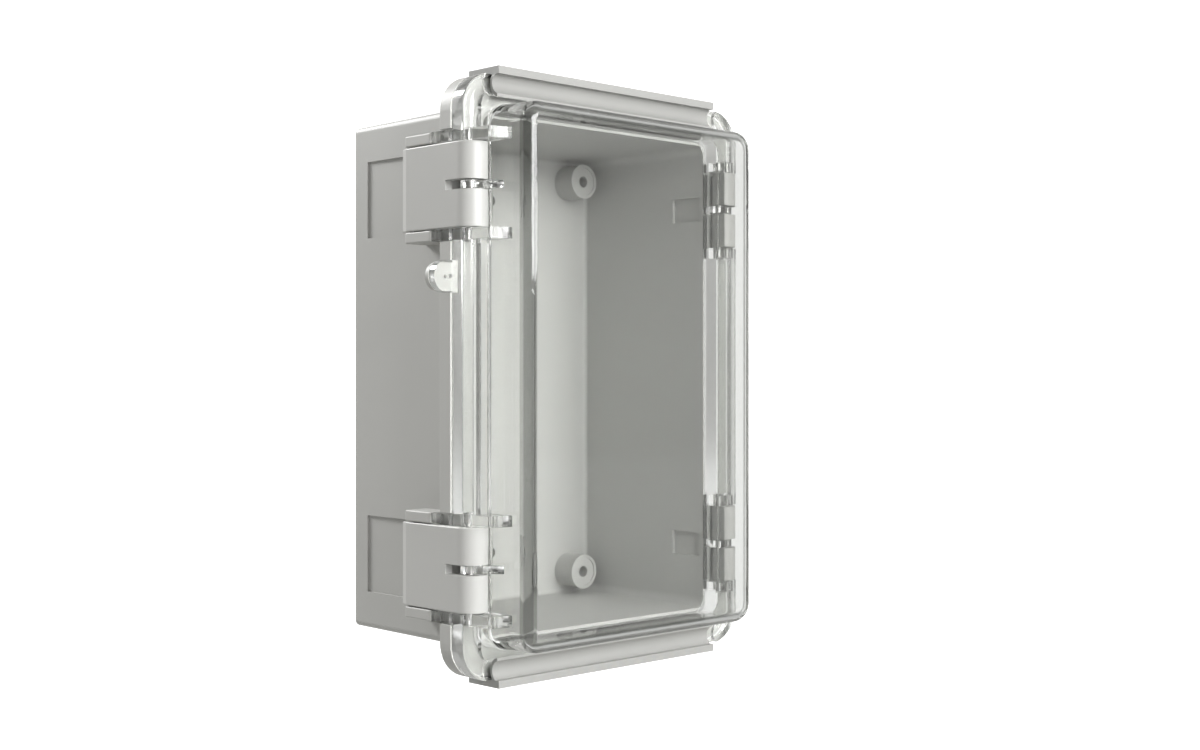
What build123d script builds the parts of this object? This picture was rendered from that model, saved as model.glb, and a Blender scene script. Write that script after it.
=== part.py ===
from build123d import *
import os
from math import cos, radians, sin, sqrt, tan

# Wall enclosure with a deep clear cover, in millimetres. The origin is the centre of the back face, on the
# wall. X runs to the right, Z up, and the cover faces -Y. A depth is a distance forward from the wall.

# Base box: its outside at the wall, and walls that open forward by the draft
body_half_width = 78.4
body_half_height = 122.0
body_corner = 2.8
body_back_round = 1.2
draft = 0.55
side_wall = 4.1
back_wall = 3.0
cavity_corner = 4.0
cavity_floor_round = 2.0

# Flange round the mouth of the base
flange_back_depth = 82.7
flange_thickness = 7.9
flange_corner = 17.0
flange_edge_round = 0.8

# Gasket in the groove of the base's rim
rim_inner_wall = 1.3
gasket_width = 2.4
rim_outer_wall = 1.5
groove_depth = 2.8
gasket_gap = 0.2
gasket_round = 0.7

# Lid flange: a flat land round the window, a concave gutter and an outer lip, wider above and below
parting_gap = 1.0
lid_flange_thickness = 7.9
lid_edge_round = 1.2
gutter_radius = 5.0
gutter_lift = 2.0
land_width = 5.1
side_lip = 1.34
end_lip = 4.02

# Raised clear window of the lid, which stands a little outside the rim of the base
window_over_side = 0.73
window_over_end = 4.03
window_rise = 25.3
window_side_lean = 0.4
window_end_lean = 0.4
window_wall = 2.7
window_corner = 9.5
window_front_round = 5.6
window_foot_round = 2.0

# Edge strips over the upper and lower flanges
strip_end_inset = 19.4
strip_thickness = 3.5
strip_front_lead = 1.6
strip_back_lap = 2.6
strip_leg = 1.4
strip_foot_rise = 0.5
strip_clearance = 0.3
strip_seat_spare = 5.0

# Clips: four like mouldings, two as latches on the left and two as hinges on the right
clip_end_inset = 50.75
clip_height = 38.2
clip_plate = 4.0
clip_tail_setback = 28.5
clip_tail_taper = 4.2
clip_tail_lean = 1.4
barrel_radius = 8.2
barrel_drop = 4.6
hub_radius = 5.2
nose_inset = 12.2
clip_slot_height = 4.6
clip_slot_setback = 7.9
clip_edge_round = 0.6
latch_opening = 60.0

# Pins: the front pins carry the clips on the lid, the axles carry the hinge clips on the base
pin_radius = 1.5
pin_inset = 6.9
pin_lead = 1.3
axle_radius = 1.25
axle_inset = 3.5
axle_from_tail = 7.0
knuckle_radius = 3.2
pin_chamfer = 0.3
press_clearance = 0.02
running_clearance = 0.08

# Ears that hold the clips, those of the base behind and those of the lid in front
ear_thickness = 5.0
ear_gap = 0.5
base_ear_behind_axle = 4.2
base_ear_setback = 6.1
ear_end_gap = 0.5
ear_corner_round = 1.5
ear_edge_round = 0.7
lid_ear_neck = 5.4
lid_ear_front_inset = 4.1
latch_ear_reach = 17.2
latch_ear_slope = 2.3
hinge_ear_reach = 6.6
rib_thickness = 3.4
rib_radius = 4.4
latch_rib_reach = 14.9
hinge_rib_reach = 8.1
clip_clearance = 0.4
nose_clearance = 0.1
notch_gap = 0.6
pocket_floor = 3.2
snap_dome_radius = 1.1
snap_dome_height = 0.3

# Shallow recesses in the side walls at the clips, outside and inside
outer_recess_depth = 0.8
outer_recess_back = 10.8
outer_recess_half_height = 18.5
inner_recess_depth = 1.8
inner_recess_length = 22.0
inner_recess_land = 0.4
inner_recess_half_height = 6.1
inner_recess_rise = 1.0

# Bosses on the back wall: four for a mounting plate and two round the wall fixing holes
plate_boss_height = 13.4
plate_boss_side_inset = 14.77
plate_boss_end_inset = 12.97
plate_boss_radius = 9.2
plate_boss_rim = 1.5
plate_boss_dish = 0.6
plate_hole_radius = 3.0
plate_hole_depth = 11.0
wall_boss_height = 8.6
wall_boss_end_inset = 27.37
wall_boss_radius = 8.0
wall_hole_radius = 3.0

# Seal lugs on the left edge: a round tab on the lid and a smaller one on the base, with a wire hole
seal_below_clip = 41.25
seal_reach = 6.0
lid_tab_radius = 7.2
lid_tab_thickness = 4.0
base_tab_radius = 6.4
base_tab_thickness = 2.4
seal_hole_radius = 1.0
seal_hole_reach = 4.0

# Depths from the wall that follow from the sizes above
growth = tan(radians(draft))
rim_depth = flange_back_depth + flange_thickness
lid_back_depth = rim_depth + parting_gap
land_depth = lid_back_depth + lid_flange_thickness
window_depth = land_depth + window_rise
gutter_depth = land_depth + gutter_lift
barrel_depth = land_depth - barrel_drop
pin_depth = barrel_depth + pin_lead
clip_slot_depth = barrel_depth - clip_slot_setback
clip_tail_depth = flange_back_depth - clip_tail_setback
axle_depth = clip_tail_depth + axle_from_tail
base_ear_back_depth = axle_depth - base_ear_behind_axle
base_ear_front_depth = flange_back_depth - base_ear_setback
lid_ear_back_depth = base_ear_front_depth + ear_end_gap

# Widths and heights from the middle that follow from the sizes above
rim_half_width = body_half_width + growth * rim_depth - side_wall
rim_half_height = body_half_height + growth * rim_depth - side_wall
groove_inset = rim_inner_wall + gasket_width
collar_inset = groove_inset + rim_outer_wall
collar_half_width = rim_half_width + collar_inset
window_half_width = rim_half_width + window_over_side
window_half_height = rim_half_height + window_over_end
window_front_half_width = window_half_width - window_side_lean
window_front_half_height = window_half_height - window_end_lean
gutter_half_chord = sqrt(gutter_radius**2 - gutter_lift**2)
gutter_half_width = window_half_width + land_width + gutter_half_chord
gutter_half_height = window_half_height + land_width + gutter_half_chord
flange_half_width = gutter_half_width + gutter_half_chord + side_lip
flange_half_height = gutter_half_height + end_lip
gutter_corner = flange_corner - (flange_half_width - gutter_half_width)
pin_x = flange_half_width - pin_inset
axle_x = flange_half_width - axle_inset
ear_inner = clip_height / 2 + ear_gap
ear_outer = ear_inner + ear_thickness
clip_centre_height = flange_half_height - clip_end_inset
strip_half_length = flange_half_width - strip_end_inset
strip_outer = flange_half_height + strip_thickness
strip_front_depth = land_depth + strip_front_lead
strip_back_depth = flange_back_depth - strip_back_lap
plate_boss_x = rim_half_width - plate_boss_side_inset
plate_boss_z = rim_half_height - plate_boss_end_inset
wall_boss_z = rim_half_height - wall_boss_end_inset
seal_z = clip_centre_height - seal_below_clip
nose_offset = nose_inset - pin_inset
nose_reach = sqrt(nose_offset**2 + (barrel_radius - pin_lead) ** 2)
pocket_radius = nose_reach + nose_clearance + clip_clearance / 2

# Where the open latch's nose crosses the floor of its pocket, from the pin
opening_angle = radians(latch_opening)
crossing_offset = (nose_offset - pocket_floor * sin(opening_angle)) / cos(opening_angle)
crossing_reach = sqrt(crossing_offset**2 + pocket_floor**2)
hub_room_radius = max(hub_radius, crossing_reach) + clip_clearance + nose_clearance


def slab(half_width, half_height, corner, depth_from, depth_to, opening=0.0):
    """Rounded rectangular slab between two depths, whose sides open forward by an angle."""
    outline = Plane.XZ.offset(depth_from) * RectangleRounded(2 * half_width, 2 * half_height, corner)
    return extrude(outline, depth_to - depth_from, taper=-opening)


def block(x_from, x_to, depth_from, depth_to, z_from, z_to):
    """Rectangular block between limits."""
    centre = Pos((x_from + x_to) / 2, -(depth_from + depth_to) / 2, (z_from + z_to) / 2)
    return centre * Box(abs(x_to - x_from), depth_to - depth_from, z_to - z_from)


def post(x, depth, radius, z_from, z_to):
    """Round post along Z."""
    return Pos(x, -depth, (z_from + z_to) / 2) * Cylinder(radius, abs(z_to - z_from))


def stud(x, z, radius, depth_from, depth_to):
    """Round stud that points forward."""
    return Pos(x, -(depth_from + depth_to) / 2, z) * Rot(X=90) * Cylinder(radius, depth_to - depth_from)


def plan(points, z_from, z_to, side):
    """Plate with an outline in plan, given as distances from the middle plane and depths."""
    outline = Polygon(*[(side * x, -depth) for x, depth in points], align=None)
    return extrude(Plane.XY.offset(z_from) * outline, z_to - z_from, dir=(0, 0, 1))


def at_clips():
    """The heights of the lower and the upper clip."""
    return (-clip_centre_height, clip_centre_height)


def clip_notches(side, overhang):
    """Gaps in a flange at the clips of one side, clear of the ears by the overhang."""
    half = ear_outer + overhang
    gaps = Part()
    for height in at_clips():
        gaps += block(side * collar_half_width, side * (flange_half_width + 1), clip_tail_depth,
                      rim_depth + 1, height - half, height + half)
    return gaps


def base_ear(side, z_from, z_to):
    """Plate on the base's side wall that holds the rear end of a clip."""
    root = body_half_width - 1
    ear = block(side * root, side * flange_half_width, base_ear_back_depth, base_ear_front_depth,
                z_from, z_to)
    outer_edges = ear.edges().filter_by(Axis.Z).sort_by(Axis.X)
    outer_edges = outer_edges[:2] if side < 0 else outer_edges[2:]
    ear = fillet(outer_edges, ear_corner_round)
    rims = ear.faces().filter_by(Axis.Z).edges() - ear.faces().sort_by(Axis.X)[-1 if side < 0 else 0].edges()
    return fillet(rims, ear_edge_round)


def plate_boss(x, z):
    """Boss for a mounting plate: a dished face inside a raised rim, with a blind hole."""
    top = back_wall + plate_boss_height
    boss = stud(x, z, plate_boss_radius, back_wall - 1, top)
    return boss - stud(x, z, plate_boss_radius - plate_boss_rim, top - plate_boss_dish, top + 1)


def make_base():
    """Moulded box with its rim, flange, ears, bosses and seal lug."""
    body = slab(body_half_width, body_half_height, body_corner, 0, rim_depth, draft)
    body = fillet(body.faces().sort_by(Axis.Y)[-1].edges(), body_back_round)
    rim_flange = slab(flange_half_width, flange_half_height - strip_clearance, flange_corner,
                      flange_back_depth, rim_depth)
    rim_flange = fillet(rim_flange.faces().sort_by(Axis.Y)[-1].edges(), flange_edge_round)
    base = body + rim_flange

    floor_width = rim_half_width - growth * (rim_depth - back_wall)
    floor_height = rim_half_height - growth * (rim_depth - back_wall)
    cavity = slab(floor_width, floor_height, cavity_corner, back_wall, rim_depth + 1, draft)
    cavity = fillet(cavity.faces().sort_by(Axis.Y)[-1].edges(), cavity_floor_round)
    base -= cavity

    groove_floor = rim_depth - groove_depth
    groove = slab(rim_half_width + groove_inset, rim_half_height + groove_inset,
                  cavity_corner + groove_inset, groove_floor, rim_depth + 1)
    groove -= slab(rim_half_width + rim_inner_wall, rim_half_height + rim_inner_wall,
                   cavity_corner + rim_inner_wall, groove_floor - 1, rim_depth + 2)
    base -= groove

    for side in (-1, 1):
        base -= clip_notches(side, notch_gap)
        for height in at_clips():
            base += base_ear(side, height + ear_inner, height + ear_outer)
            base += base_ear(side, height - ear_outer, height - ear_inner)
            outer_face = side * (body_half_width - outer_recess_depth)
            base -= block(outer_face, side * flange_half_width, outer_recess_back, base_ear_back_depth - 1,
                          height - outer_recess_half_height, height + outer_recess_half_height)
            inner_face = side * (rim_half_width + inner_recess_depth)
            middle = height + inner_recess_rise if height > 0 else height - inner_recess_rise
            base -= block(0, inner_face, rim_depth - inner_recess_length, groove_floor - inner_recess_land,
                          middle - inner_recess_half_height, middle + inner_recess_half_height)

    for height in at_clips():
        for ear in (-1, 1):
            base -= post(axle_x, axle_depth, axle_radius + press_clearance,
                         height + ear * (ear_inner - 1), height + ear * (ear_outer + 1))
            dome = stud_dome(-axle_x, axle_depth, height + ear * ear_inner, -ear)
            base += dome

    for x in (-plate_boss_x, plate_boss_x):
        for z in (-plate_boss_z, plate_boss_z):
            base += plate_boss(x, z)
            dish = back_wall + plate_boss_height - plate_boss_dish
            base -= stud(x, z, plate_hole_radius, dish - plate_hole_depth, dish + 1)
    wall_boss_front = back_wall + wall_boss_height
    for z in (-wall_boss_z, wall_boss_z):
        base += stud(0, z, wall_boss_radius, back_wall - 1, wall_boss_front)
        base -= stud(0, z, wall_hole_radius, -1, wall_boss_front + 1)

    base += seal_tab(base_tab_radius, rim_depth - base_tab_thickness, rim_depth)
    base -= seal_hole(rim_depth - base_tab_thickness, rim_depth)
    return base


def stud_dome(x, depth, z, way):
    """Low snap dome on the face of an ear, which meets the mouth of a latch's bore."""
    ball_radius = (snap_dome_radius**2 + snap_dome_height**2) / (2 * snap_dome_height)
    ball = Pos(x, -depth, z + way * (snap_dome_height - ball_radius)) * Sphere(ball_radius)
    z_tip = z + way * (snap_dome_height + 1)
    z_root = z - way * 0.5
    return ball & post(x, depth, snap_dome_radius, min(z_tip, z_root), max(z_tip, z_root))


def seal_tab(radius, depth_from, depth_to):
    """Round tab on the left edge."""
    tab = stud(-flange_half_width - seal_reach, seal_z, radius, depth_from, depth_to)
    return tab + block(-flange_half_width - seal_reach, -gutter_half_width, depth_from, depth_to,
                       seal_z - radius, seal_z + radius)


def seal_hole(depth_from, depth_to):
    """Hole for the seal's wire."""
    return stud(-flange_half_width - seal_hole_reach, seal_z, seal_hole_radius, depth_from - 1, depth_to + 1)


def make_gasket():
    """Soft ring that fills the groove and stands proud of the rim."""
    bottom = rim_depth - groove_depth
    top = lid_back_depth - gasket_gap
    ring = slab(rim_half_width + groove_inset, rim_half_height + groove_inset, cavity_corner + groove_inset,
                bottom, top)
    ring -= slab(rim_half_width + rim_inner_wall, rim_half_height + rim_inner_wall,
                 cavity_corner + rim_inner_wall, bottom - 1, top + 1)
    return fillet(ring.faces().sort_by(Axis.Y)[0].edges(), gasket_round)


def window_shell():
    """Outside of the raised window, from the land to its front."""
    foot = Plane.XZ.offset(lid_back_depth) * RectangleRounded(2 * window_half_width, 2 * window_half_height,
                                                              window_corner)
    land = Plane.XZ.offset(land_depth) * RectangleRounded(2 * window_half_width, 2 * window_half_height,
                                                          window_corner)
    front = Plane.XZ.offset(window_depth) * RectangleRounded(2 * window_front_half_width,
                                                             2 * window_front_half_height, window_corner)
    raised = loft([land, front], ruled=True)
    raised = fillet(raised.faces().sort_by(Axis.Y)[0].edges(), window_front_round)
    return raised + extrude(foot, land_depth - lid_back_depth) + window_fillet()


def window_fillet():
    """Skirt whose concave face blends the window into the land."""
    skirt = slab(window_half_width + window_foot_round, window_half_height + window_foot_round,
                 window_corner + window_foot_round, land_depth - 1, land_depth + window_foot_round)
    skirt -= slab(window_half_width - window_wall / 2, window_half_height - window_wall / 2,
                  window_corner - window_wall / 2, land_depth - 2, land_depth + window_foot_round + 1)
    centre_width = window_half_width + window_foot_round
    centre_height = window_half_height + window_foot_round
    centre_depth = land_depth + window_foot_round
    path = Plane.XZ.offset(centre_depth) * RectangleRounded(2 * centre_width, 2 * centre_height,
                                                            window_corner + window_foot_round)
    start = Plane(origin=(centre_width, -centre_depth, 0), z_dir=(0, 0, 1))
    return skirt - sweep(start * Circle(window_foot_round), path=path.face().outer_wire())


def window_hollow():
    """Inside of the raised window, open at the back."""
    back_depth = lid_back_depth - 1
    back = Plane.XZ.offset(back_depth) * RectangleRounded(2 * (window_half_width - window_wall),
                                                          2 * (window_half_height - window_wall),
                                                          window_corner - window_wall)
    front = Plane.XZ.offset(window_depth - window_wall) * RectangleRounded(
        2 * (window_front_half_width - window_wall), 2 * (window_front_half_height - window_wall),
        window_corner - window_wall)
    hollow = loft([back, front], ruled=True)
    return fillet(hollow.faces().sort_by(Axis.Y)[0].edges(), window_front_round - window_wall)


def gutter():
    """Round channel that follows the flange between its land and its outer lip."""
    path = Plane.XZ.offset(gutter_depth) * RectangleRounded(2 * gutter_half_width, 2 * gutter_half_height,
                                                            gutter_corner)
    start = Plane(origin=(gutter_half_width, -gutter_depth, 0), z_dir=(0, 0, 1))
    return sweep(start * Circle(gutter_radius), path=path.face().outer_wire())


def strip_seat(way):
    """Deeper channel under an edge strip, in the upper or the lower flange."""
    leg_room = gutter_radius + strip_leg + strip_clearance
    seat = Pos(0, -gutter_depth, way * gutter_half_height) * Rot(Y=90) * Cylinder(
        leg_room, 2 * (strip_half_length + strip_seat_spare))
    return seat


def lid_ear(side, z_from, z_to):
    """Ear of the lid, from the window's wall back beside the base's flange."""
    inside = window_front_half_width - window_wall / 4
    back_inner = collar_half_width + notch_gap
    front_x = flange_half_width - lid_ear_front_inset
    front_depth = barrel_depth + (latch_ear_reach if side < 0 else hinge_ear_reach)
    wall_depth = front_depth + (latch_ear_slope if side < 0 else 0)
    outline = [(back_inner, lid_ear_back_depth), (flange_half_width, lid_ear_back_depth),
               (flange_half_width, barrel_depth - lid_ear_neck), (front_x, barrel_depth),
               (front_x, front_depth), (inside, wall_depth), (inside, lid_back_depth),
               (back_inner, lid_back_depth)]
    ear = plan(outline, z_from, z_to, side)
    corners = ear.edges().filter_by(Axis.Z).sort_by(lambda edge: edge.center().Y - side * edge.center().X)
    return fillet(corners[0], ear_corner_round)


def lid_rib(side, height):
    """Middle rib of the lid, which passes through the slot of a clip and carries the pin."""
    inside = window_front_half_width - window_wall / 4
    wall_depth = barrel_depth + (latch_rib_reach if side < 0 else hinge_rib_reach)
    low = height - rib_thickness / 2
    high = height + rib_thickness / 2
    outline = [(inside, wall_depth), (pin_x, pin_depth + rib_radius), (pin_x, pin_depth - rib_radius),
               (inside, pin_depth - rib_radius)]
    return plan(outline, low, high, side) + post(side * pin_x, pin_depth, rib_radius, low, high)


def clip_pocket(side, height):
    """Room in the lid's flange for a clip's barrel as it turns."""
    low = height - ear_inner
    high = height + ear_inner
    barrel_room = post(side * pin_x, pin_depth, pocket_radius, low, high)
    barrel_room -= block(0, side * 2 * flange_half_width, 0, pin_depth - pocket_floor, low - 1, high + 1)
    room = barrel_room + post(side * pin_x, pin_depth, hub_room_radius, low, high)
    return room + block(side * pin_x, side * (flange_half_width + 1), lid_back_depth - 1,
                        land_depth + gutter_lift, low, high)


def make_lid():
    """Clear cover: flange, raised window, ears, ribs and seal lug."""
    lid_flange = slab(flange_half_width, flange_half_height, flange_corner, lid_back_depth, land_depth)
    lid_flange = fillet(lid_flange.faces().sort_by(Axis.Y)[0].edges(), lid_edge_round)
    lid_flange -= gutter()
    lid_flange = lid_flange.solids().sort_by(SortBy.VOLUME)[-1]
    for way in (-1, 1):
        lid_flange -= strip_seat(way)
    lid = lid_flange + window_shell()
    for side in (-1, 1):
        for height in at_clips():
            lid -= clip_pocket(side, height)
            lid += lid_ear(side, height + ear_inner, height + ear_outer)
            lid += lid_ear(side, height - ear_outer, height - ear_inner)
            lid += lid_rib(side, height)
            lid -= post(side * pin_x, pin_depth, pin_radius + press_clearance,
                        height - ear_outer - 1, height + ear_outer + 1)
    lid -= window_hollow()
    tab_back = lid_back_depth + gasket_gap
    lid += seal_tab(lid_tab_radius, tab_back, tab_back + lid_tab_thickness)
    lid -= seal_hole(tab_back, tab_back + lid_tab_thickness)
    return lid


def make_strip(way):
    """Edge strip: a flat plate over the flanges and a curved leg in the lid's channel."""
    plate = block(-strip_half_length, strip_half_length, strip_back_depth, strip_front_depth,
                  flange_half_height, strip_outer)
    place = Pos(0, -gutter_depth, gutter_half_height) * Rot(Y=90)
    leg = place * Cylinder(gutter_radius + strip_leg, 2 * strip_half_length)
    leg -= place * Cylinder(gutter_radius, 2 * strip_half_length + 2)
    beyond = strip_half_length + 1
    leg -= block(-beyond, beyond, land_depth + strip_foot_rise, gutter_depth + 2 * gutter_radius,
                 window_half_height, strip_outer)
    leg -= block(-beyond, beyond, 0, gutter_depth + 2 * gutter_radius, flange_half_height,
                 flange_half_height + 2 * gutter_radius)
    strip = plate + leg
    return strip if way > 0 else mirror(strip, about=Plane.XY)


def make_clip():
    """Clip moulding of the left side, standing about the middle height."""
    low = -clip_height / 2
    high = clip_height / 2
    outer = -flange_half_width
    inner = outer + clip_plate
    taper_depth = clip_tail_depth + clip_tail_taper
    plate = block(outer, inner, taper_depth, barrel_depth, low, high)
    tail = plan([(-outer, taper_depth), (-outer - clip_tail_lean, clip_tail_depth), (-inner, clip_tail_depth),
                 (-inner, taper_depth)], low, high, -1)
    barrel = post(outer + barrel_radius, barrel_depth, barrel_radius, low, high)
    barrel -= block(outer - 1, outer + 3 * barrel_radius, 0, barrel_depth, low - 1, high + 1)
    barrel -= block(outer + nose_inset, outer + 3 * barrel_radius, 0, gutter_depth + 2 * barrel_radius,
                    low - 1, high + 1)
    hub = post(-pin_x, pin_depth, hub_radius, low, high)
    knuckle = post(-axle_x, axle_depth, knuckle_radius, low, high)
    clip = plate + tail + barrel + hub + knuckle
    rims = clip.faces().filter_by(Axis.Z).edges()
    clip = fillet(rims.filter_by_position(Axis.X, outer - 0.1, outer + barrel_radius), clip_edge_round)
    clip -= block(outer - 1, outer + 3 * barrel_radius, clip_slot_depth, gutter_depth + 2 * barrel_radius,
                  -clip_slot_height / 2, clip_slot_height / 2)
    clip -= post(-pin_x, pin_depth, pin_radius + running_clearance, low - 1, high + 1)
    clip -= post(-axle_x, axle_depth, axle_radius + running_clearance, low - 1, high + 1)
    return clip


def make_pin(x, depth, radius, height):
    """Steel pin with chamfered ends, flush with the outer faces of its ears."""
    pin = post(x, depth, radius, height - ear_outer, height + ear_outer)
    return chamfer(pin.edges().filter_by(GeomType.CIRCLE), pin_chamfer)


def write(shape, name):
    """Save one piece as a STEP file."""
    export_step(shape, f"parts/{name}.step")


os.makedirs("parts", exist_ok=True)
write(make_base(), "base")
write(make_gasket(), "gasket")
write(make_lid(), "lid")
write(make_strip(1), "top_strip")
write(make_strip(-1), "bottom_strip")
clip_moulding = make_clip()
for height, place in ((clip_centre_height, "upper"), (-clip_centre_height, "lower")):
    latch = Pos(0, 0, height) * clip_moulding
    write(latch, f"latch_{place}")
    write(mirror(latch, about=Plane.YZ), f"hinge_{place}")
    write(make_pin(-pin_x, pin_depth, pin_radius, height), f"latch_pin_{place}")
    write(make_pin(pin_x, pin_depth, pin_radius, height), f"hinge_pin_{place}")
    write(make_pin(axle_x, axle_depth, axle_radius, height), f"hinge_axle_{place}")
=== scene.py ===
import math

import bpy
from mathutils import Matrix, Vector


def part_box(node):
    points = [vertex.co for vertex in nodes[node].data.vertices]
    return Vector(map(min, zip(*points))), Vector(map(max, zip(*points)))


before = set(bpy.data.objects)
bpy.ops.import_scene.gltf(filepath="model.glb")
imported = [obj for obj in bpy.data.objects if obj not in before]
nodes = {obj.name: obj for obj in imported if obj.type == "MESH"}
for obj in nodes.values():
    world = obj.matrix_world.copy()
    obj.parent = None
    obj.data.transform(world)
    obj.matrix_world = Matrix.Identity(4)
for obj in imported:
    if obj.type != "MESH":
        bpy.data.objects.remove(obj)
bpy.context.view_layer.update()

# The base: a deep box moulded in light grey polycarbonate. Its mould was spark eroded, which leaves a fine
# satin grain, and the faces turn a little paler where the plastic flowed thin.

mix_share = 0
mix_first = 6
mix_second = 7
mix_result = 2


def colour_mix(tree, links, mask, second):
    """A colour that turns to the second one where the mask is one."""
    mix = tree.new("ShaderNodeMix")
    mix.data_type = "RGBA"
    mix.inputs[mix_second].default_value = (*second, 1.0)
    links.new(mask, mix.inputs[mix_share])
    return mix


def make_grain_group():
    """Moulded grain: a fine height for a bump, and broad patches that vary the shade."""
    group = bpy.data.node_groups.new("moulded_grain", "ShaderNodeTree")
    sockets = group.interface
    sockets.new_socket("Grain Scale", in_out="INPUT", socket_type="NodeSocketFloat")
    sockets.new_socket("Patch Scale", in_out="INPUT", socket_type="NodeSocketFloat")
    sockets.new_socket("Height", in_out="OUTPUT", socket_type="NodeSocketFloat")
    sockets.new_socket("Patches", in_out="OUTPUT", socket_type="NodeSocketFloat")
    tree = group.nodes
    given = tree.new("NodeGroupInput")
    result = tree.new("NodeGroupOutput")
    place = tree.new("ShaderNodeTexCoord")
    fine = tree.new("ShaderNodeTexNoise")
    fine.inputs["Detail"].default_value = 3.0
    fine.inputs["Roughness"].default_value = 0.6
    broad = tree.new("ShaderNodeTexNoise")
    broad.inputs["Detail"].default_value = 2.0
    links = group.links
    links.new(place.outputs["Object"], fine.inputs["Vector"])
    links.new(place.outputs["Object"], broad.inputs["Vector"])
    links.new(given.outputs["Grain Scale"], fine.inputs["Scale"])
    links.new(given.outputs["Patch Scale"], broad.inputs["Scale"])
    links.new(fine.outputs["Fac"], result.inputs["Height"])
    links.new(broad.outputs["Fac"], result.inputs["Patches"])
    return group


grain_group = make_grain_group()


def moulded_plastic(name, dark, light, roughness, grain, grain_depth):
    """Opaque moulded plastic with grain, faint flow patches and an even satin gloss."""
    patch_scale = 14.0
    smoother = 0.04
    rougher = 0.05
    material = bpy.data.materials.new(name)
    material.use_nodes = True
    tree = material.node_tree.nodes
    links = material.node_tree.links
    shader = tree["Principled BSDF"]
    shader.inputs["IOR"].default_value = 1.5
    grain_node = tree.new("ShaderNodeGroup")
    grain_node.node_tree = grain_group
    grain_node.inputs["Grain Scale"].default_value = grain
    grain_node.inputs["Patch Scale"].default_value = patch_scale
    shade = colour_mix(tree, links, grain_node.outputs["Patches"], light)
    shade.inputs[mix_first].default_value = (*dark, 1.0)
    spread = tree.new("ShaderNodeMapRange")
    spread.inputs["To Min"].default_value = roughness - smoother
    spread.inputs["To Max"].default_value = roughness + rougher
    bump = tree.new("ShaderNodeBump")
    bump.inputs["Strength"].default_value = 0.35
    bump.inputs["Distance"].default_value = grain_depth
    links.new(grain_node.outputs["Height"], spread.inputs["Value"])
    links.new(grain_node.outputs["Height"], bump.inputs["Height"])
    links.new(shade.outputs[mix_result], shader.inputs["Base Color"])
    links.new(spread.outputs["Result"], shader.inputs["Roughness"])
    links.new(bump.outputs["Normal"], shader.inputs["Normal"])
    return material


def finish_node(name, material):
    """Give a piece its material."""
    for slot in nodes[name].material_slots:
        slot.material = material


base_plastic = moulded_plastic("base_plastic", dark=(0.41, 0.41, 0.395), light=(0.45, 0.45, 0.432),
                               roughness=0.5, grain=2600.0, grain_depth=0.00006)
finish_node("base", base_plastic)

# The gasket: a soft foamed ring, poured into the groove of the base's rim, where it cures and stays. It is a
# shade paler than the base, and its fine cells make it dull.

seal_foam = moulded_plastic("seal_foam", dark=(0.48, 0.48, 0.47), light=(0.56, 0.56, 0.55),
                            roughness=0.85, grain=1800.0, grain_depth=0.0001)
finish_node("gasket", seal_foam)

# The lid: one clear polycarbonate moulding with a polished surface. Light passes its walls, bends at the
# rounded edges of the window and shows them as bright and dark lines; their dark is also painted shade, laid
# into the lid's colour there. The flange is a little duller.

lid_low, lid_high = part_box("lid")
flange_beside_window = 15.605e-3
flange_beyond_window = 13.702e-3
window_front = -lid_low[1]
window_half_width = lid_high[0] - flange_beside_window
window_half_height = lid_high[2] - flange_beyond_window
front_round = 5.6e-3
edge_softness = 0.4e-3


def above(tree, links, value, limit):
    """One where a length is past a limit, nought below it, with a soft step between."""
    step = tree.new("ShaderNodeMapRange")
    step.interpolation_type = "SMOOTHSTEP"
    step.inputs["From Min"].default_value = limit - edge_softness
    step.inputs["From Max"].default_value = limit + edge_softness
    links.new(value, step.inputs["Value"])
    return step.outputs["Result"]


def combined(tree, links, operation, first, second):
    """Two masks made one by their product or by the greater of them."""
    join = tree.new("ShaderNodeMath")
    join.operation = operation
    join.use_clamp = True
    links.new(first, join.inputs[0])
    links.new(second, join.inputs[1])
    return join.outputs["Value"]


def counted_past(tree, links, count, limit):
    """One where a ray has met more surfaces than a limit."""
    test = tree.new("ShaderNodeMath")
    test.operation = "GREATER_THAN"
    test.inputs[1].default_value = limit
    links.new(count, test.inputs[0])
    return test.outputs["Value"]


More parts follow.
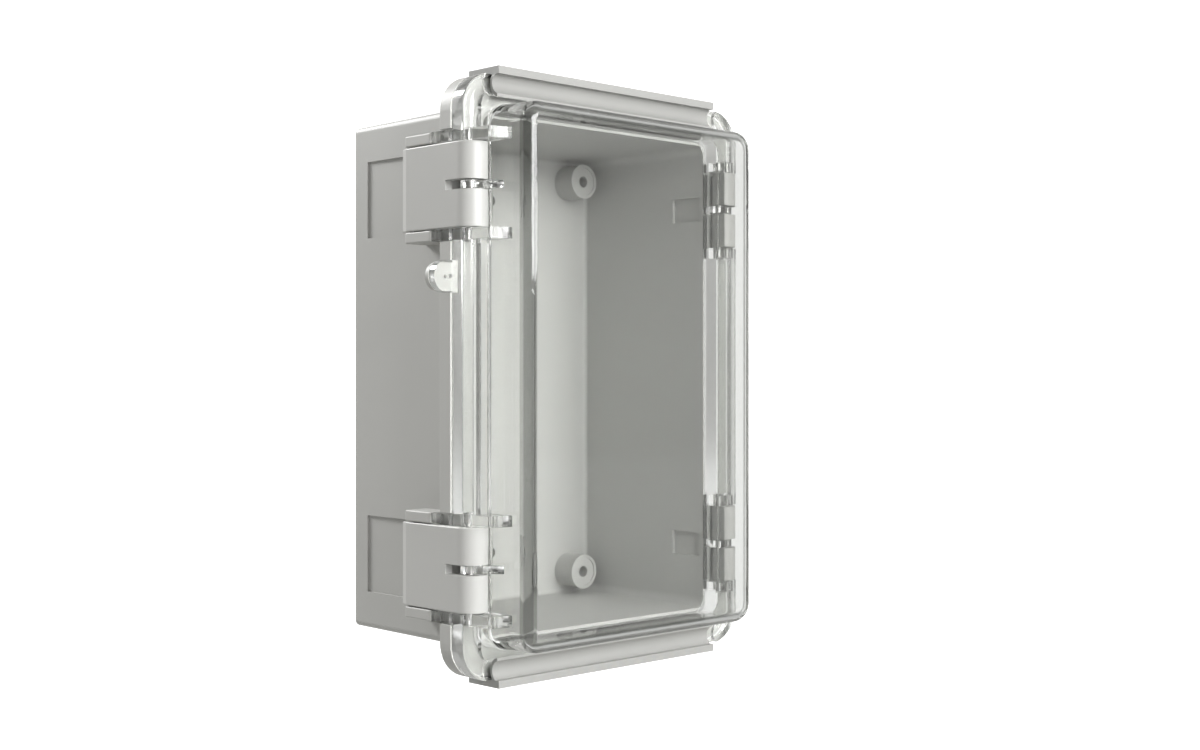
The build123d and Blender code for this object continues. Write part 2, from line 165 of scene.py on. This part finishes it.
def clear_plastic(name, pane_tint, round_painted_shade, flange_tint, lamp_tint, pane_roughness, flange_roughness):
    """Clear moulding: it bends what is seen, has painted shade on the window's rounded edges and lets the
    lamps through.
    """
    mirrored_at_most = 2.5
    met_at_most = 8.5
    material = bpy.data.materials.new(name)
    material.use_nodes = True
    tree = material.node_tree.nodes
    links = material.node_tree.links
    shader = tree["Principled BSDF"]
    shader.inputs["IOR"].default_value = 1.45
    shader.inputs["Transmission Weight"].default_value = 1.0
    place = tree.new("ShaderNodeTexCoord")
    split = tree.new("ShaderNodeSeparateXYZ")
    links.new(place.outputs["Object"], split.inputs["Vector"])
    aside = {}
    for axis in ("X", "Y", "Z"):
        size = tree.new("ShaderNodeMath")
        size.operation = "ABSOLUTE"
        links.new(split.outputs[axis], size.inputs[0])
        aside[axis] = size.outputs["Value"]
    front = above(tree, links, aside["Y"], window_front - front_round)
    side_round = above(tree, links, aside["X"], window_half_width - front_round)
    end_round = above(tree, links, aside["Z"], window_half_height - front_round)
    outer_round = combined(tree, links, "MAXIMUM", side_round, end_round)
    painted_shade_rounds = combined(tree, links, "MULTIPLY", front, outer_round)
    beside = above(tree, links, aside["X"], window_half_width + edge_softness)
    beyond = above(tree, links, aside["Z"], window_half_height + edge_softness)
    flange = combined(tree, links, "MAXIMUM", beside, beyond)
    # The dark grey on the window's rounded front edges is painted shade.
    window_colour = colour_mix(tree, links, painted_shade_rounds, round_painted_shade)
    window_colour.inputs[mix_first].default_value = (*pane_tint, 1.0)
    lid_colour = colour_mix(tree, links, flange, flange_tint)
    links.new(window_colour.outputs[mix_result], lid_colour.inputs[mix_first])
    links.new(lid_colour.outputs[mix_result], shader.inputs["Base Color"])
    polish = tree.new("ShaderNodeMapRange")
    polish.inputs["To Min"].default_value = pane_roughness
    polish.inputs["To Max"].default_value = flange_roughness
    links.new(flange, polish.inputs["Value"])
    links.new(polish.outputs["Result"], shader.inputs["Roughness"])
    open_to_light = tree.new("ShaderNodeBsdfTransparent")
    open_to_light.inputs["Color"].default_value = (*lamp_tint, 1.0)
    path = tree.new("ShaderNodeLightPath")
    mirrored = counted_past(tree, links, path.outputs["Glossy Depth"], mirrored_at_most)
    met = counted_past(tree, links, path.outputs["Ray Depth"], met_at_most)
    trapped = combined(tree, links, "MAXIMUM", mirrored, met)
    let_go = combined(tree, links, "MAXIMUM", trapped, path.outputs["Is Shadow Ray"])
    mix = tree.new("ShaderNodeMixShader")
    links.new(let_go, mix.inputs["Fac"])
    links.new(shader.outputs["BSDF"], mix.inputs[1])
    links.new(open_to_light.outputs["BSDF"], mix.inputs[2])
    links.new(mix.outputs["Shader"], tree["Material Output"].inputs["Surface"])
    return material


# The dark grey given to the window's rounded edges is painted shade.
lid_clear = clear_plastic("lid_clear", pane_tint=(0.77, 0.775, 0.765), round_painted_shade=(0.33, 0.335, 0.325),
                          flange_tint=(0.74, 0.745, 0.735), lamp_tint=(0.84, 0.845, 0.84),
                          pane_roughness=0.03, flange_roughness=0.13)
finish_node("lid", lid_clear)

# The edge strips: two straight extrusions in grey plastic, over the upper and the lower flange. Each hooks
# into the channel along the lid's edge and turns with the lid.

strip_plastic = moulded_plastic("strip_plastic", dark=(0.3, 0.3, 0.29), light=(0.34, 0.34, 0.328),
                                roughness=0.38, grain=3000.0, grain_depth=0.00003)
for name in ("top_strip", "bottom_strip"):
    finish_node(name, strip_plastic)

# The clips: four like mouldings in a paler grey, smooth to the hand. The left pair are the latches, and the
# right pair are the leaves on which the lid turns.

clip_plastic = moulded_plastic("clip_plastic", dark=(0.46, 0.46, 0.445), light=(0.5, 0.5, 0.485),
                               roughness=0.36, grain=3000.0, grain_depth=0.00003)
for name in ("latch_upper", "latch_lower", "hinge_upper", "hinge_lower"):
    finish_node(name, clip_plastic)

# The pins: drawn stainless wire, cut to length and chamfered. They pass the ears of the lid and of the base
# and carry the clips.


def drawn_steel(name):
    """Stainless steel with fine draw lines along Z."""
    material = bpy.data.materials.new(name)
    material.use_nodes = True
    tree = material.node_tree.nodes
    links = material.node_tree.links
    shader = tree["Principled BSDF"]
    shader.inputs["Base Color"].default_value = (0.62, 0.61, 0.6, 1.0)
    shader.inputs["Metallic"].default_value = 1.0
    place = tree.new("ShaderNodeTexCoord")
    stretch = tree.new("ShaderNodeMapping")
    stretch.inputs["Scale"].default_value = (6000.0, 6000.0, 60.0)
    lines = tree.new("ShaderNodeTexNoise")
    lines.inputs["Scale"].default_value = 1.0
    spread = tree.new("ShaderNodeMapRange")
    spread.inputs["To Min"].default_value = 0.2
    spread.inputs["To Max"].default_value = 0.38
    links.new(place.outputs["Object"], stretch.inputs["Vector"])
    links.new(stretch.outputs["Vector"], lines.inputs["Vector"])
    links.new(lines.outputs["Fac"], spread.inputs["Value"])
    links.new(spread.outputs["Result"], shader.inputs["Roughness"])
    return material


pin_steel = drawn_steel("pin_steel")
for name in ("latch_pin_upper", "latch_pin_lower", "hinge_pin_upper", "hinge_pin_lower",
             "hinge_axle_upper", "hinge_axle_lower"):
    finish_node(name, pin_steel)

# The camera stands at the left, level with the middle of the box. It looks a little past the box, which
# puts the box left of the picture's middle.

camera_place = (-0.5465, -0.6541, 0.0009)
camera_turn = math.radians(44.2)
level = math.radians(90)
lens_mm = 48.6
film_width_mm = 36.0
camera_data = bpy.data.cameras.new("camera")
camera_data.lens = lens_mm
camera_data.sensor_width = film_width_mm
camera = bpy.data.objects.new("camera", camera_data)
camera.location = camera_place
camera.rotation_euler = (level, 0, -camera_turn)
bpy.context.scene.collection.objects.link(camera)
bpy.context.scene.camera = camera

# The studio: a white floor well below the box, a white backdrop and soft lights. To the eye the floor and
# the backdrop are evenly white. The light they throw on the box is dimmer, and the backdrop's is graded.

white_level = 1.45
floor_level = -0.45
floor_half = 6.0
floor_corners = [(-floor_half, -floor_half, floor_level), (floor_half, -floor_half, floor_level),
                 (floor_half, floor_half, floor_level), (-floor_half, floor_half, floor_level)]
floor_mesh = bpy.data.meshes.new("floor")
floor_mesh.from_pydata(floor_corners, [], [(0, 1, 2, 3)])
floor = bpy.data.objects.new("floor", floor_mesh)
bpy.context.scene.collection.objects.link(floor)
floor_material = bpy.data.materials.new("floor_white")
floor_material.use_nodes = True
floor_tree = floor_material.node_tree.nodes
floor_links = floor_material.node_tree.links
floor_shader = floor_tree["Principled BSDF"]
floor_shader.inputs["Base Color"].default_value = (0.42, 0.42, 0.41, 1.0)
floor_shader.inputs["Roughness"].default_value = 0.9
floor_shader.inputs["Specular IOR Level"].default_value = 0.1
pale = floor_tree.new("ShaderNodeEmission")
pale.inputs["Strength"].default_value = white_level
floor_path = floor_tree.new("ShaderNodeLightPath")
floor_seen = combined(floor_tree, floor_links, "MAXIMUM", floor_path.outputs["Is Camera Ray"],
                      floor_path.outputs["Is Transmission Ray"])
floor_mix = floor_tree.new("ShaderNodeMixShader")
floor_links.new(floor_seen, floor_mix.inputs["Fac"])
floor_links.new(floor_shader.outputs["BSDF"], floor_mix.inputs[1])
floor_links.new(pale.outputs["Emission"], floor_mix.inputs[2])
floor_links.new(floor_mix.outputs["Shader"], floor_tree["Material Output"].inputs["Surface"])
floor_mesh.materials.append(floor_material)


def graded_strength(tree, links, way):
    """How bright the studio is in a direction: dimmer on the left, behind and below."""
    strength = None
    for axis, low, high in (("X", 0.4, 0.75), ("Y", 1.2, 0.8), ("Z", 0.32, 1.22)):
        ramp = tree.new("ShaderNodeMapRange")
        ramp.interpolation_type = "SMOOTHSTEP"
        ramp.inputs["From Min"].default_value = -1.0
        ramp.inputs["To Min"].default_value = low
        ramp.inputs["To Max"].default_value = high
        links.new(way.outputs[axis], ramp.inputs["Value"])
        if strength is None:
            strength = ramp.outputs["Result"]
            continue
        times = tree.new("ShaderNodeMath")
        times.operation = "MULTIPLY"
        links.new(strength, times.inputs[0])
        links.new(ramp.outputs["Result"], times.inputs[1])
        strength = times.outputs["Value"]
    return strength


def studio_world():
    """White to the eye, and through the clear lid towards the backdrop; graded for all other light."""
    backdrop_way = (0.7, 0.71, 0.0)
    backdrop_begins = 0.35
    backdrop_full = 0.6
    world = bpy.data.worlds.new("studio")
    world.use_nodes = True
    tree = world.node_tree.nodes
    links = world.node_tree.links
    white = tree["Background"]
    white.inputs["Color"].default_value = (1.0, 1.0, 1.0, 1.0)
    white.inputs["Strength"].default_value = white_level
    way = tree.new("ShaderNodeTexCoord")
    split = tree.new("ShaderNodeSeparateXYZ")
    links.new(way.outputs["Generated"], split.inputs["Vector"])
    graded = tree.new("ShaderNodeBackground")
    graded.inputs["Color"].default_value = (1.0, 0.995, 0.98, 1.0)
    links.new(graded_strength(tree, links, split), graded.inputs["Strength"])
    behind = tree.new("ShaderNodeVectorMath")
    behind.operation = "DOT_PRODUCT"
    behind.inputs[1].default_value = backdrop_way
    links.new(way.outputs["Generated"], behind.inputs[0])
    backdrop = tree.new("ShaderNodeMapRange")
    backdrop.interpolation_type = "SMOOTHSTEP"
    backdrop.inputs["From Min"].default_value = backdrop_begins
    backdrop.inputs["From Max"].default_value = backdrop_full
    links.new(behind.outputs["Value"], backdrop.inputs["Value"])
    path = tree.new("ShaderNodeLightPath")
    through = combined(tree, links, "MULTIPLY", backdrop.outputs["Result"],
                       path.outputs["Is Transmission Ray"])
    seen = combined(tree, links, "MAXIMUM", path.outputs["Is Camera Ray"], through)
    mix = tree.new("ShaderNodeMixShader")
    links.new(seen, mix.inputs["Fac"])
    links.new(graded.outputs["Background"], mix.inputs[1])
    links.new(white.outputs["Background"], mix.inputs[2])
    links.new(mix.outputs["Shader"], tree["World Output"].inputs["Surface"])
    return world


bpy.context.scene.world = studio_world()


def soft_light(name, place, aim, width, height, power):
    """Put up a rectangular soft box that points at a spot."""
    data = bpy.data.lights.new(name, "AREA")
    data.shape = "RECTANGLE"
    data.size = width
    data.size_y = height
    data.energy = power
    light = bpy.data.objects.new(name, data)
    light.location = place
    towards = Vector(aim) - Vector(place)
    light.rotation_euler = towards.to_track_quat("-Z", "Y").to_euler()
    bpy.context.scene.collection.objects.link(light)


soft_light("key_light", place=(0.1, -1.9, 0.5), aim=(0, -0.05, 0), width=1.5, height=0.7, power=47)
soft_light("side_light", place=(-0.42, 0.95, 0.72), aim=(-0.08, -0.04, 0.06), width=0.35, height=0.35,
           power=19)
bpy.context.scene.view_settings.view_transform = "Standard"
